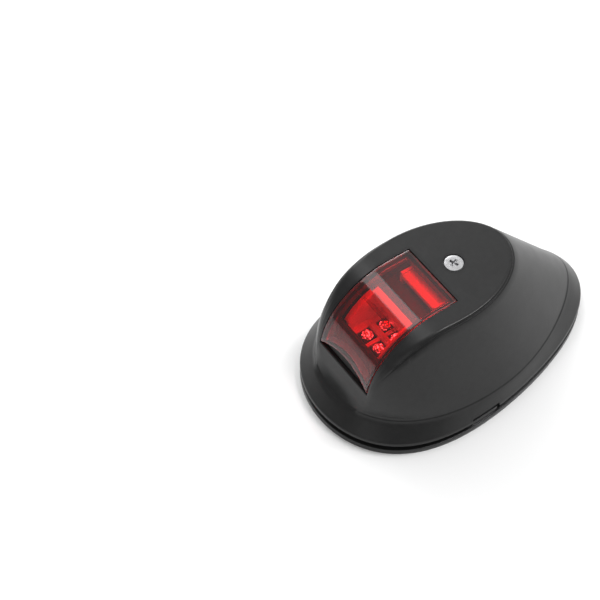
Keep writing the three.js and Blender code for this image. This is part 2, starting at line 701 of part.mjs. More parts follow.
// white moulding round the LEDs: tray with side walls, a bar over the rear row and a ridged deck
function reflector() {
  const { outer, inner, floor, thick, rear, front } = TRAY;
  const floorTop = floor + thick;
  const ledgeBottom = BAFFLE.bottom - GAP - BAFFLE.ledgeThick;
  let body = block(rear, front, -outer, outer, floor, floorTop);
  for (const side of [1, -1]) {
    const [y0, y1] = side > 0 ? [inner, outer] : [-outer, -inner];
    const [l0, l1] = side > 0 ? [inner - BAFFLE.ledge, outer] : [-outer, BAFFLE.ledge - inner];
    const [t0, t1] = side > 0 ? [TAB.inner, outer] : [-outer, -TAB.inner];
    body = body.add(block(rear, front, y0, y1, floor, CROWN.z));
    body = body.add(block(DECK.rear, rear + SINK, y0, y1, ledgeBottom, CROWN.z));
    body = body.add(block(BAFFLE.rear, BAFFLE.front, l0, l1, ledgeBottom, BAFFLE.bottom - GAP));
    body = body.add(block(TAB.rear, rear + SINK, t0, t1, floor, floorTop));
  }
  body = body.add(block(rear, rear + thick, -outer, outer, floor, BAR.top));
  body = body.add(block(rear, BAR.front, -outer, outer, BAR.top - thick, BAR.top));
  body = body.add(block(BAR.front - thick, BAR.front, -outer, outer, BAR.bottom, BAR.top));
  const underside = DECK.eaves - DECK.thick;
  const deck = [
    [DECK.rear, underside],
    [DECK.front, underside],
    [DECK.front, DECK.eaves],
    [DECK.ridge, DECK.top],
    [DECK.rear, DECK.eaves],
  ];
  body = body.add(across(deck, outer));
  const { x: wallX, thick: wallThick, half: wallHalf, height: wallHeight } = PARTITION;
  body = body.add(
    block(wallX, wallX + wallThick, -wallHalf, wallHalf, floorTop - SINK, floorTop + wallHeight),
  );
  // the walls are trimmed to follow the lens's inner face
  const trim = { from: -30, to: LENS_END + 5, above: -15 };
  body = body.subtract(profileBand(trim.from, trim.to, trim.above, TRAY.clear, outer + CUT));
  const [slotRear, slotFront, slotSide] = [BAFFLE.rear - GAP, BAFFLE.front + GAP, outer + CUT];
  body = body.subtract(block(slotRear, slotFront, -slotSide, slotSide, BAFFLE.bottom - GAP, CROWN.z));
  const { start, end, depth, thick: shelfThick, half: shelfHalf } = SHELF;
  const shelf = profileBand(start, end, depth, depth + shelfThick, shelfHalf);
  body = body.add(shelf.subtract(block(rear, front + CUT, -inner - SINK, inner + SINK, 0, CROWN.z)));
  const room = LED.size / 2 + LED.clear;
  for (const side of [1, -1]) {
    const y = side * LED.y;
    for (const x of LED.rows) {
      const window = block(x - room, x + room, y - room, y + room, floor - CUT, floorTop + 0.1);
      body = body.subtract(window);
    }
    const screwY = side * BOARD_POST.y;
    body = body.subtract(rod(BOARD_SCREW.hole, floor - CUT, floorTop + CUT, BOARD_POST.x, screwY));
  }
  return body;
}

// dark plate that lies across the side walls between deck and bar
function rearBaffle() {
  const { rear, front, half, bottom, thick } = BAFFLE;
  return block(rear, front, -half, half, bottom, bottom + thick);
}

function lightShield() {
  const { x, thick, half, top, foot, bottom } = SHIELD;
  const wall = block(x, x + thick, -half, half, bottom, top);
  let body = wall.add(block(foot, x + SINK, -half, half, bottom, bottom + thick));
  const rib = { pitch: 8, half: 0.6, height: 11 };
  for (const row of [-1, 0, 1]) {
    const side = [[foot + SINK, bottom + SINK], [x + SINK, bottom + SINK], [x + SINK, bottom + rib.height]];
    body = body.add(across(side, rib.half).translate([0, row * rib.pitch, 0]));
  }
  return body;
}

// ---------------------------------------------------------------- assembly
const root = new THREE.Group();
root.name = 'navigation_light';

function piece(name, shape, color, roughness, metalness = 0, opacity = 1) {
  const { vertProperties, triVerts } = shape.getMesh();
  const indexed = new THREE.BufferGeometry();
  indexed.setAttribute('position', new THREE.Float32BufferAttribute(vertProperties, 3));
  indexed.setIndex(Array.from(triVerts));
  const geometry = indexed.toNonIndexed();
  geometry.computeVertexNormals();
  const transparent = opacity < 1;
  const material = new THREE.MeshStandardMaterial({ color, roughness, metalness, transparent, opacity });
  material.name = `${name}_material`;
  const mesh = new THREE.Mesh(geometry, material);
  mesh.name = name;
  root.add(mesh);
}

const SHELL_BLACK = 0x2e2f30;
const SEAL_BLACK = 0x121212;
const STEEL = 0xbcbec0;
const LED_CREAM = 0xf2efdc;
const MODULE_WHITE = 0xe9e7e0;

piece('housing_cover', housingCover(), SHELL_BLACK, 0.5);
piece('lens', lens(), 0xa3161c, 0.08, 0, 0.6);
piece('lens_seal', lensSeal(), SEAL_BLACK, 0.85);
piece('cover_screw', coverScrew(), 0xd8d9da, 0.25, 1);
piece('screw_o_ring', screwORing(), SEAL_BLACK, 0.8);
piece('base_plate', basePlate(), 0x4a4b4c, 0.6);
piece('base_gasket', rimRing(PAD.outer, PAD.inner, 0, PAD.top), 0x1a1a1a, 0.95);
piece('cover_seal', rimRing(SEAL.outer, SEAL.inner, SEAL.bottom, SEAL.top), SEAL_BLACK, 0.85);
piece('threaded_insert', threadedInsert(), 0xb8923e, 0.35, 1);
piece('wire_grommet', wireGrommet(), SEAL_BLACK, 0.85);
piece('terminal_block', terminalBlock(), 0xdedbd0, 0.5);
piece('terminal_screw_1', terminalScrew(1), STEEL, 0.35, 1);
piece('terminal_screw_2', terminalScrew(-1), STEEL, 0.35, 1);
piece('lead_positive', lead(1), 0xb01818, 0.5);
piece('lead_negative', lead(-1), 0x161616, 0.5);
piece('led_board', ledBoard(), 0xe8e8e2, 0.45);
piece('led_1', led(0, 1), LED_CREAM, 0.2);
piece('led_2', led(0, -1), LED_CREAM, 0.2);
piece('led_3', led(1, 1), LED_CREAM, 0.2);
piece('led_4', led(1, -1), LED_CREAM, 0.2);
piece('resistor_1', chip(CHIP.spread, 3.2, 1.6, 0.7), 0x1c1c1c, 0.4);
piece('resistor_2', chip(-CHIP.spread, 3.2, 1.6, 0.7), 0x1c1c1c, 0.4);
piece('polarity_diode', chip(0, 4.4, 2.6, 2.0), 0x161616, 0.45);
piece('board_screw_1', boardScrew(1), STEEL, 0.3, 1);
piece('board_screw_2', boardScrew(-1), STEEL, 0.3, 1);
piece('reflector', reflector(), MODULE_WHITE, 0.35);
piece('rear_baffle', rearBaffle(), 0x1b1b1b, 0.6);
piece('light_shield', lightShield(), 0x141414, 0.6);

export default root;
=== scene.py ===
"""Looks of a side-mount navigation light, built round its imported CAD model.

Sizes are millimetres in the CAD frame: +X toward the lens end, +Z up, underside of the base on z = 0.
Meshes are made in millimetres and scaled to metres when they become objects.
"""

import json
import math
from types import SimpleNamespace as Dims

import bmesh
import bpy
import numpy as np
from mathutils import Matrix, Vector


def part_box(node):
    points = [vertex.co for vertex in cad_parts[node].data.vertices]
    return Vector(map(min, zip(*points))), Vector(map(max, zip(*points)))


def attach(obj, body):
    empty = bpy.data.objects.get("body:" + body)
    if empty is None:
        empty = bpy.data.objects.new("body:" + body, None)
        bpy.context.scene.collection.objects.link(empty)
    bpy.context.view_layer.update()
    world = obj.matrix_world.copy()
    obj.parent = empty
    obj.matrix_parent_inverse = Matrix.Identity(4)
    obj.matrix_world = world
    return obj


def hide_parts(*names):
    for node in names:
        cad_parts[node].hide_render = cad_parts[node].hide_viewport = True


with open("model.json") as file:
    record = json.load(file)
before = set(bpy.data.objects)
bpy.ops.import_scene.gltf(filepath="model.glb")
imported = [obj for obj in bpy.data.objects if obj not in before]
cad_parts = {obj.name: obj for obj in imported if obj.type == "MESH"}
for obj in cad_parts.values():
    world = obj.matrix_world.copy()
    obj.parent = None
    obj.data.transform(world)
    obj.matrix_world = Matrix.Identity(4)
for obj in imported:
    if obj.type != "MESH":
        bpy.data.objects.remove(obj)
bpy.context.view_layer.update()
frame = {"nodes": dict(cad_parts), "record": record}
MM = 0.001

# ---------------------------------------------------------------- driving dimensions
RIM = Dims(length=60.0, width=36.0, egg=0.23, nose=0.14, bottom=5.0, edge=6.2, round=0.15)
SKIRT = Dims(width=3.0, rise=0.6)
WALL = 2.2
WALL_LEAN = 0.92        # share of the depth by which the wall's plan section moves inward
FLANGE_LEAN = 0.65      # share of the depth by which the wall's foot moves down
FOOT = Dims(z=13.0, length=54.5, width=34.1, egg=0.15, nose=0.03, tail=-0.15)
CROWN = Dims(z=50.0, centre=12.0, front=38.4, rear=33.8, width=22.2, nose=0.31)
CHEEK = Dims(width=1.4, length=0.1)
SOFT = Dims(inner=0.6, crease=1.15, crease_nose=3.2, hollow=1.2, hollow_nose=1.2, hollow_tail=1.0)
EDGE = Dims(lip=0.35, rim=0.45, under=0.3, land=0.3)    # rounding of the moulded edges
LINE = Dims(below=1.3, half=0.65, depth=0.6, fade=(0.6, 0.9))   # groove along the wall under the crease
STEP = Dims(height=0.2, rise=0.8)       # how far the flange stands proud of the wall

# most that a rounded corner may take of the stretch of the section beside it
SHARE = Dims(cap=0.8, groove=0.35, wall=0.55, flange=0.85)
SAMPLES = Dims(cap=40, wall=24, notch=24, taps=24, halvings=40, angles=(40, 110, 60))
OUTER_COUNTS = (2, 7, 14, 30, 12, 26, 6, 8, 2, 6, 3)    # samples per stretch of the outer section
INNER_COUNTS = (10, 6, 8, 10, 4)                        # and of the inner section
CUT = 1.0               # how far a cutting tool reaches past what it cuts
WELD = 2e-6             # metres within which points of a CAD mesh are one

BEND = Dims(radius=29.9, x=19.5, z=CROWN.z - 29.9, angle=math.radians(84.2))
APRON_SLOPE = 0.25

OPENING = Dims(start=10.2, half=14.5, end=BEND.x + BEND.radius * BEND.angle)
OPENING.middle = (OPENING.start + OPENING.end) / 2
OPENING.reach = (OPENING.end - OPENING.start) / 2
ARCH = Dims(foot=0.8, rise=4.6, lowest=-0.4)
LENS = Dims(fit=0.35, side_gap=0.3, wall=2.2, side=1.6, flange=1.9, flange_top=3.6, flange_thick=1.5)
LENS_ROUND = 0.2        # rounding of the edges of the lens's two faces
LENS_CELLS = Dims(along=64, across=28, spare=0.4)   # spare keeps even rows off the moulded line

NOTCH = Dims(start=4.0, end=16.5, top=7.0, depth=1.8, slant=0.7)
SCREW = Dims(x=0.8, head=3.6, shank=1.6, bore=2.1, tip=28.5, sink=2.15, clear=0.22, chamfer=0.22)
SCREW_HEAD = ((0.06, 0.42), (0, 0.34), (0, 0.2), (0.1, 0.09), (0.6, 0.01), (1.2, 0))    # inward, down
HEAD_DROP = 0.05        # how far the screw head lies below the crown
THREAD = Dims(pitch=0.6, crest=0.22, point=0.6, cone=1.3, start=1.8, plain=6, runout=0.1)
RECESS = Dims(depth=1.5, top=(2.15, 0.55), low=(0.8, 0.4), over=0.5, turn=math.radians(20))
BOSS = Dims(radius=4.9, bottom=43.4, chamfer=0.3)
LED = Dims(size=5.0, body=1.5, round=0.12, segments=48)
WELL = Dims(floor=1.75, mouth=2.15, depth=0.35, over=0.1)           # in the top of an LED
DOME = Dims(radius=2.1, height=1.9, foot=1.7, spring=0.1, sunk=0.3, steps=10)
PAD = Dims(length=0.45, half=1.5, height=0.35, round=0.1)           # an LED's soldered foot

GROOVE = Dims(x=25.0, half=0.25, depth=-0.3)    # fine line moulded across the inside of the lens
SKY = Dims(toward=(-0.4, -0.25, 0.88), dim=0.33, bright=0.95, start=0.62, end=0.86)
AIM = (0.02, 0, 0.03)   # the point, in metres, that every lamp faces
LAMPS = {               # direction, distance, width, length (m), radiance
    "main_softbox": ((0.155, -0.501, 0.851), 0.95, 0.33, 0.75, 1.9),
    "far_panel": ((-0.25, -0.85, 0.42), 1.2, 1.0, 0.7, 4.0),
    "near_card": ((-0.45, 0.82, 0.3), 1.2, 1.3, 0.5, 0.1),
    "nose_card": ((0.8, 0.36, 0.47), 1.2, 0.6, 0.4, 0.8),
    "crease_strip": ((-0.35, 0.22, 0.86), 1.2, 0.6, 0.22, 17.0),
}
CAMERA = Dims(azimuth=145.281, elevation=52.426, position=(0.2758, 0.2996, 0.5516), focal=107.2)
SENSOR = 36.0           # width of the camera's sensor
FLOOR = Dims(half=3000.0, glow=0.02)


# ---------------------------------------------------------------- small helpers
def lerp(a, b, k):
    return a + (b - a) * k


def smoothstep(x, low, high):
    k = min(max((x - low) / (high - low), 0.0), 1.0)
    return k * k * (3 - 2 * k)


def direction(azimuth, elevation):
    """Unit vector from the object toward a viewer who looks along azimuth at that elevation."""
    a, e = math.radians(azimuth), math.radians(elevation)
    return Vector((math.sin(a) * math.cos(e), -math.cos(a) * math.cos(e), math.sin(e)))


def make_object(name, points, faces):
    """Mesh object from points in millimetres, smooth except across its sharp edges."""
    mesh = bpy.data.meshes.new(name)
    mesh.from_pydata([tuple(c * MM for c in p) for p in points], [], faces)
    mesh.validate()
    obj = bpy.data.objects.new(name, mesh)
    bpy.context.scene.collection.objects.link(obj)
    face_outward(mesh)
    shade(obj)
    return obj


def face_outward(mesh):
    """Turns every face of a closed mesh outward."""
    bm = bmesh.new()
    bm.from_mesh(mesh)
    bmesh.ops.recalc_face_normals(bm, faces=bm.faces)
    bm.to_mesh(mesh)
    bm.free()


def shade(obj, smooth_angle=35.0):
    """Shades an object smooth except across edges sharper than the angle in degrees."""
    obj.data.shade_smooth()
    obj.data.set_sharp_from_angle(angle=math.radians(smooth_angle))


def lathe(name, profile, x=0.0, y=0.0, segments=64):
    """Turned solid about a vertical axis; profile is (radius, z) from the axis back to the axis."""
    points, faces, rings = [], [], []
    for radius, z in profile:
        if radius < 1e-6:
            rings.append([len(points)])
            points.append((x, y, z))
            continue
        rings.append(list(range(len(points), len(points) + segments)))
        for i in range(segments):
            a = 2 * math.pi * i / segments
            points.append((x + radius * math.cos(a), y + radius * math.sin(a), z))
    for low, high in zip(rings, rings[1:]):
        for i in range(segments):
            j = (i + 1) % segments
            corners = [low[i % len(low)], low[j % len(low)], high[j % len(high)], high[i % len(high)]]
            corners = list(dict.fromkeys(corners))
            if len(corners) > 2:
                faces.append(corners)
    return make_object(name, points, faces)


def carve(obj, steps):
    """Applies exact booleans in turn; steps are (operation, tool object), and the tools are removed."""
    for operation, tool in steps:
        modifier = obj.modifiers.new("carve", "BOOLEAN")
        modifier.operation = operation
        modifier.solver = "EXACT"
        modifier.object = tool
    bpy.context.view_layer.update()
    evaluated = obj.evaluated_get(bpy.context.evaluated_depsgraph_get())
    mesh = bpy.data.meshes.new_from_object(evaluated)
    obj.modifiers.clear()
    obj.data = mesh
    for _, tool in steps:
        bpy.data.objects.remove(tool)
    shade(obj)
    return obj


# ---------------------------------------------------------------- shell outlines
def rim_point(t):
    c, s = math.cos(t), math.sin(t)
    return RIM.length * c, RIM.width * s * (1 + RIM.egg * c + RIM.nose * c * c)


def wall_point(t, z):
    """Plan section of the wall at height z."""
    c, s = math.cos(t), math.sin(t)
    nose = max(c, 0.0) ** 2
    k = (z - FOOT.z) / (CROWN.z - FOOT.z)
    reach = CROWN.front if c > 0 else CROWN.rear
    full = 27 / 4 * k * (1 - k) ** 2 if c > 0 else 0.0
    x = lerp(FOOT.length * c, CROWN.centre + reach * c, k)
    end = FOOT.nose if c > 0 else FOOT.tail
    low = FOOT.width * s * (1 + FOOT.egg * c + end * c * c)
    high = CROWN.width * s * (1 + CROWN.nose * nose)
    return x * (1 + CHEEK.length * full * s * s), lerp(low, high, k) + CHEEK.width * full * s * nose


def inset(curve, t, distance):
    """Point of a closed plan curve moved inward, square to the curve."""
    step = 1e-3
    x, y = curve(t)
    xa, ya = curve(t - step)
    xb, yb = curve(t + step)
    length = math.hypot(xb - xa, yb - ya)
    return x - distance * (yb - ya) / length, y + distance * (xb - xa) / length


def profile_point(s, depth):
    """Side profile: s runs along the outer face from x = 0, depth is square into the shell."""
    if s <= BEND.x:
        return s, CROWN.z - depth
    angle = min((s - BEND.x) / BEND.radius, BEND.angle)
    radius = BEND.radius - depth
    drop = max(s - OPENING.end, 0.0) / math.hypot(1, APRON_SLOPE)
    x = BEND.x + radius * math.sin(angle) + drop * APRON_SLOPE
    return x, BEND.z + radius * math.cos(angle) - drop


def profile_at(z, depth):
    """Furthest forward the profile reaches at height z, and the s value there."""
    foot_x, foot_z = profile_point(OPENING.end, depth)
    if z < foot_z:
        drop = foot_z - z
        return foot_x + drop * APRON_SLOPE, OPENING.end + drop * math.hypot(1, APRON_SLOPE)
    radius = BEND.radius - depth
    angle = math.acos(min((z - BEND.z) / radius, 1.0))
    return BEND.x + radius * math.sin(angle), BEND.x + BEND.radius * angle


def crease_height(t, depth):
    """Height at which the wall line at t runs into the side profile."""
    low, high = FOOT.z, CROWN.z - depth
    if inset(lambda u: wall_point(u, high), t, WALL_LEAN * depth)[0] <= BEND.x:
        return high
    for _ in range(SAMPLES.halvings):
        middle = (low + high) / 2
        x = inset(lambda u: wall_point(u, middle), t, WALL_LEAN * depth)[0]
        if x <= profile_at(middle, depth)[0]:
            low = middle
        else:
            high = middle
    return low


def crease_point(t, depth):
    z = crease_height(t, depth)
    x, y = inset(lambda u: wall_point(u, z), t, WALL_LEAN * depth)
    s = x if x <= BEND.x else profile_at(z, depth)[1]
    return s, y, z


def opening_point(t):
    """Point of the opening's edge seen from its middle in the same direction as the crease at t."""
    s, y, _ = crease_point(t, 0)
    ds = s - OPENING.middle
    scale = min(OPENING.reach / max(abs(ds), 1e-9), OPENING.half / max(abs(y), 1e-9))
    return OPENING.middle + ds * scale, y * scale


def cap_and_wall(t, depth):
    """Line over the top and down the wall; its point number SAMPLES.cap is on the crease."""
    edge_s, edge_y = opening_point(t)
    crease_s, crease_y, crease_z = crease_point(t, depth)
    line = []
    for k in np.linspace(0, 1, SAMPLES.cap, endpoint=False):
        x, z = profile_point(lerp(edge_s, crease_s, k), depth)
        line.append((x, lerp(edge_y, crease_y, k), z))
    foot_z = FOOT.z - FLANGE_LEAN * depth
    for z in np.linspace(crease_z, foot_z, SAMPLES.wall + 1):
        level = max(z, FOOT.z)
        x, y = inset(lambda u: wall_point(u, level), t, WALL_LEAN * depth)
        line.append((x, y, z))
    return line


def corner_reach(t, depth):
    """How far along the line the crease and the hollow above the flange are rounded."""
    front = max(math.cos(t), 0.0) ** 1.5
    rear = max(-math.cos(t), 0.0) ** 1.5
    crease = SOFT.inner if depth > 0 else SOFT.crease + SOFT.crease_nose * front
    return crease, SOFT.hollow + SOFT.hollow_nose * front + SOFT.hollow_tail * rear


def relief(t, at, crease, hollow, rim):
    """How far the shell stands out at a distance along its section: groove and flange step."""
    fade = 1 - smoothstep(math.cos(t), *LINE.fade)
    away = abs(at - crease - LINE.below) / LINE.half
    groove = LINE.depth * fade * (1 - smoothstep(away, 0, 1))
    step = STEP.height * smoothstep(at, hollow - STEP.rise, hollow)
    return step * (1 - smoothstep(at, hollow + STEP.rise, rim)) - groove


def raised(row, marks, t):
    """Row with the relief added, square to the rim in plan; marks are crease, hollow and rim."""
    x, y = rim_point(t)
    inner_x, inner_y = inset(rim_point, t, 1.0)
    result = []
    for at, px, py, pz in row:
        height = relief(t, at, *marks)
        result.append((px + height * (x - inner_x), py + height * (y - inner_y), pz))
    return result


def section_stretches(a, b, reach_a, reach_b):
    """Distances along a section at which the spacing of its samples changes."""
    gap = b - a
    below = a + min(LINE.below + LINE.half, SHARE.groove * gap)
    return [a - reach_a, below, b - min(reach_b, SHARE.wall * gap), b + reach_b]


def section_stations(marks, counts):
    """Distances of the samples: counts of them, evenly spaced, between each mark and the next."""
    stations = []
    for low, high, count in zip(marks, marks[1:], counts):
        stations += list(np.linspace(low, high, count, endpoint=False))
    return stations + [marks[-1]]


def rounded_row(line, crease, hollow, reaches, start, end, edges, counts):
    """Samples a section line with its corners rounded by averaging over a local reach.

    crease and hollow are the line's two rounded corners, reaches how far each is rounded, and
    start and end the points that this rounding stays between. edges are (point, reach) of small
    moulded edges, and counts the samples per stretch. Returns the samples, each its distance
    along the line and its point, and the distances of crease, hollow and end.
    """
    line = np.array(line)
    lengths = np.concatenate([[0], np.cumsum(np.linalg.norm(np.diff(line, axis=0), axis=1))])
    a, b, first, last = (lengths[i] for i in (crease, hollow, start, end))
    reach_a = min(reaches[0], SHARE.cap * (a - first))
    reach_b = min(reaches[1], SHARE.flange * (last - b))
    small = [(lengths[i], r) for i, r in edges]
    marks = [0.0, *section_stretches(a, b, reach_a, reach_b), lengths[-1]]
    for c, r in small:
        marks += [c - r, c + r]

    taps = (2 * np.arange(SAMPLES.taps) + 1) / SAMPLES.taps - 1
    narrowest = 0.1
    row = []
    for at in section_stations(sorted(marks), counts):
        blend = smoothstep(at, a, max(b, a + narrowest))
        reach = max(min(lerp(reach_a, reach_b, blend), at - first, last - at), 0.0)
        for c, r in small:
            reach = max(reach, min(r, 2 * r - abs(at - c)))
        reach = min(reach, at, lengths[-1] - at)
        where = at + reach * taps
        row.append([at, *(np.interp(where, lengths, line[:, axis]).mean() for axis in range(3))])
    return row, (a, b, last)


def outer_row(t):
    """Outer section at t, from the lens opening's edge over the top and wall to under the rim."""
    line = cap_and_wall(t, 0)
    s, y = opening_point(t)
    lip_x, lip_z = profile_point(s, WALL - EDGE.land)
    upper = inset(rim_point, t, RIM.round)
    lower = inset(rim_point, t, 0)
    skirt = inset(rim_point, t, SKIRT.width)
    rim_line = [(*upper, RIM.edge), (*lower, RIM.bottom), (*skirt, RIM.bottom)]
    full = [(lip_x, y, lip_z)] + line + rim_line
    first = 1
    crease = first + SAMPLES.cap
    hollow = first + len(line) - 1
    rim = hollow + 1
    edges = [(first, EDGE.lip), (rim, EDGE.rim), (rim + 1, EDGE.under)]
    reaches = corner_reach(t, 0)
    row, marks = rounded_row(full, crease, hollow, reaches, first, rim, edges, OUTER_COUNTS)
    return raised(row, marks, t)


def inner_row(t):
    """Inner section at t, from the lens opening down to the skirt."""
    line = cap_and_wall(t, WALL)
    skirt = inset(rim_point, t, SKIRT.width)
    full = line + [(*skirt, RIM.bottom + SKIRT.rise)]
    hollow = len(line) - 1
    reaches = corner_reach(t, WALL)
    row, _ = rounded_row(full, SAMPLES.cap, hollow, reaches, 0, hollow + 1, [], INNER_COUNTS)
    return [tuple(sample[1:]) for sample in row]


def shell_angles():
    """Angles round the shell, with the four corners of the lens opening always among them."""

    def bearing(t):
        s, y, _ = crease_point(t, 0)
        return math.atan2(y, s - OPENING.middle)

    def solve(target):
        low, high = 1e-3, math.pi - 1e-3
        for _ in range(SAMPLES.halvings):
            middle = (low + high) / 2
            if bearing(middle) < target:
                low = middle
            else:
                high = middle
        return low

    corner = math.atan2(OPENING.half, OPENING.reach)
    stops = [0.0, solve(corner), solve(math.pi - corner), math.pi]
    half = []
    for low, high, count in zip(stops, stops[1:], SAMPLES.angles):
        half += list(np.linspace(low, high, count, endpoint=False))
    return half + [math.pi] + [2 * math.pi - t for t in reversed(half[1:])]


def shell_surface(name):
    rows = [outer_row(t) + inner_row(t)[::-1] for t in shell_angles()]
    span = len(rows[0])
    points = [p for row in rows for p in row]
    faces = []
    for i in range(len(rows)):
        k = (i + 1) % len(rows)
        for j in range(span):
            n = (j + 1) % span
            faces.append((i * span + j, k * span + j, k * span + n, i * span + n))
    return make_object(name, points, faces)


def notch_tool(name):
    """Tapered block along the rim that cuts the pry notch."""
    points = []
    for z, spread in ((RIM.bottom - CUT, NOTCH.slant), (NOTCH.top, 0.0)):
        for distance in (-CUT, NOTCH.depth):
            for k in range(SAMPLES.notch + 1):
                x = lerp(NOTCH.end + spread, NOTCH.start - spread, k / SAMPLES.notch)
                points.append((*inset(rim_point, math.acos(x / RIM.length), distance), z))
    n = SAMPLES.notch + 1
    loops = [[row * n + k for row in (0, 1, 3, 2)] for k in range(n)]
    faces = [loops[0], loops[-1][::-1]]
    for a, b in zip(loops, loops[1:]):
        for i in range(4):
            j = (i + 1) % 4
            faces.append((a[i], a[j], b[j], b[i]))
    return make_object(name, points, faces)


def housing_cover():
    shell = shell_surface("housing_shell")
    boss = lathe("boss", [
        (0, BOSS.bottom), (BOSS.radius - BOSS.chamfer, BOSS.bottom),
        (BOSS.radius, BOSS.bottom + BOSS.chamfer),
        (BOSS.radius, CROWN.z - WALL / 2), (0, CROWN.z - WALL / 2),
    ], SCREW.x)
    sink = SCREW.head + SCREW.clear
    mouth = sink + SCREW.chamfer
    bore = lathe("bore", [
        (0, BOSS.bottom - CUT), (SCREW.bore, BOSS.bottom - CUT), (SCREW.bore, CROWN.z - SCREW.sink),
        (sink, CROWN.z - SCREW.chamfer), (mouth, CROWN.z), (mouth, CROWN.z + CUT), (0, CROWN.z + CUT),
    ], SCREW.x)
    steps = [("UNION", boss), ("DIFFERENCE", bore), ("DIFFERENCE", notch_tool("notch"))]
    return carve(shell, steps)


# ---------------------------------------------------------------- lens
def lens_front(y, arched):
    """Where the lens ends along the profile: on its arched lower edge or square to the opening."""
    if not arched:
        return OPENING.end - LENS.fit
    bow = ARCH.rise * max(1 - (y / OPENING.half) ** 2, ARCH.lowest)
    return OPENING.end - ARCH.foot - bow


def lens_stations():
    """Shares of the lens length, even but for three that frame the moulded line, and the middle one."""
    along = LENS_CELLS.along
    start = OPENING.start + LENS.fit
    length = OPENING.end - LENS.fit - start
    line = [(GROOVE.x + k * GROOVE.half - start) / length for k in (-1, 0, 1)]
    even = [i / along for i in range(along + 1)]
    clear = GROOVE.half / length + LENS_CELLS.spare / along
    return sorted([u for u in even if abs(u - line[1]) > clear] + line), line[1]


def lens_grid(offset, depth, arched=True, grooved=False):
    """Rows of points that cover the lens in plan, grown by offset, at a depth below its face."""
    half = OPENING.half - LENS.side_gap
    start = OPENING.start + LENS.fit - offset
    shares, groove = lens_stations()
    rows = []
    for u in shares:
        row = []
        for j in range(LENS_CELLS.across + 1):
            side = lerp(-half, half, j / LENS_CELLS.across)
            end = lens_front(side, arched) + offset
            if u < 0.5:
                end = lens_front(half, False) + offset
            sunk = GROOVE.depth if grooved and u == groove else 0.0
            x, z = profile_point(lerp(start, end, u), depth + sunk)
            row.append((x, side * (half + offset) / half, z))
        rows.append(row)
    return rows


def border(rows):
    """Indices (row, column) round the edge of a grid."""
    last_row, last_col = len(rows) - 1, len(rows[0]) - 1
    loop = [(0, j) for j in range(last_col)]
    loop += [(i, last_col) for i in range(last_row)]
    loop += [(last_row, j) for j in range(last_col, 0, -1)]
    loop += [(i, 0) for i in range(last_row, 0, -1)]
    return loop


def lens_rings():
    """Offset, depth and arched edge of each ring round the lens, from outer face to inner face."""
    top, bottom = LENS.flange_top, LENS.flange_top + LENS.flange_thick
    edge = LENS_ROUND
    eased = 0.3 * edge
    return [
        (-eased, eased, True), (0, edge, True), (0, top, True),
        (LENS.flange, top, False), (LENS.flange, bottom, False),
        (-LENS.side, bottom, True), (-LENS.side, LENS.wall + edge, True),
        (-LENS.side - eased, LENS.wall + eased, True),
    ]


def grid_faces(rows, columns):
    """Four-sided faces of a grid of points."""
    faces = []
    for i in range(rows - 1):
        for j in range(columns - 1):
            a = i * columns + j
            faces.append((a, a + 1, a + columns + 1, a + columns))
    return faces


def lens():
    """Window with a flange behind it; its two faces are clear, and what joins them is not polished."""
    edge = LENS_ROUND
    outer = lens_grid(-edge, 0)
    inner = lens_grid(-LENS.side - edge, LENS.wall, grooved=True)
    loop = border(outer)
    columns = len(outer[0])
    points = [p for row in outer for p in row]
    faces = grid_faces(len(outer), columns)
    count = len(points)
    faces += [tuple(count + v for v in face[::-1]) for face in faces]
    clear_faces = len(faces)
    points += [p for row in inner for p in row]
    previous = [i * columns + j for i, j in loop]
    for offset, depth, arched in lens_rings():
        rows = lens_grid(offset, depth, arched)
        ring = list(range(len(points), len(points) + len(loop)))
        points += [rows[i][j] for i, j in loop]
        faces += bridge(previous, ring)
        previous = ring
    faces += bridge(previous, [count + i * columns + j for i, j in loop])
    window = make_object("lens_window", points, faces)
    window.data.materials.append(LOOKS["lens"])
    window.data.materials.append(LENS_EDGE_LOOK)
    for polygon in window.data.polygons[clear_faces:]:
        polygon.material_index = 1
    return window


def bridge(a, b):
    """Faces between two rings of as many points."""
    n = len(a)
    return [(a[i], a[(i + 1) % n], b[(i + 1) % n], b[i]) for i in range(n)]


# ---------------------------------------------------------------- cover screw
def recess_arm(name, angle, x, top):
    """Tapered blade of a cross recess."""
    points = []
    for z, (length, width) in ((top + RECESS.over, RECESS.top), (top - RECESS.depth, RECESS.low)):
        for u, v in ((-1, -1), (1, -1), (1, 1), (-1, 1)):
            a, b = u * length, v * width
            c, s = math.cos(angle), math.sin(angle)
            points.append((x + a * c - b * s, a * s + b * c, z))
    faces = [(0, 1, 2, 3), (4, 7, 6, 5)]
    faces += [(i, (i + 1) % 4, 4 + (i + 1) % 4, 4 + i) for i in range(4)]
    return make_object(name, points, faces)


def screw_thread(start):
    """Profile of the thread, and the height at which it ends."""
    profile = []
    turns = int((CROWN.z - SCREW.sink - THREAD.plain - start) / THREAD.pitch)
    for i in range(turns):
        z = start + i * THREAD.pitch
        profile += [(SCREW.shank - THREAD.crest, z), (SCREW.shank, z + THREAD.pitch / 2)]
    return profile, start + turns * THREAD.pitch


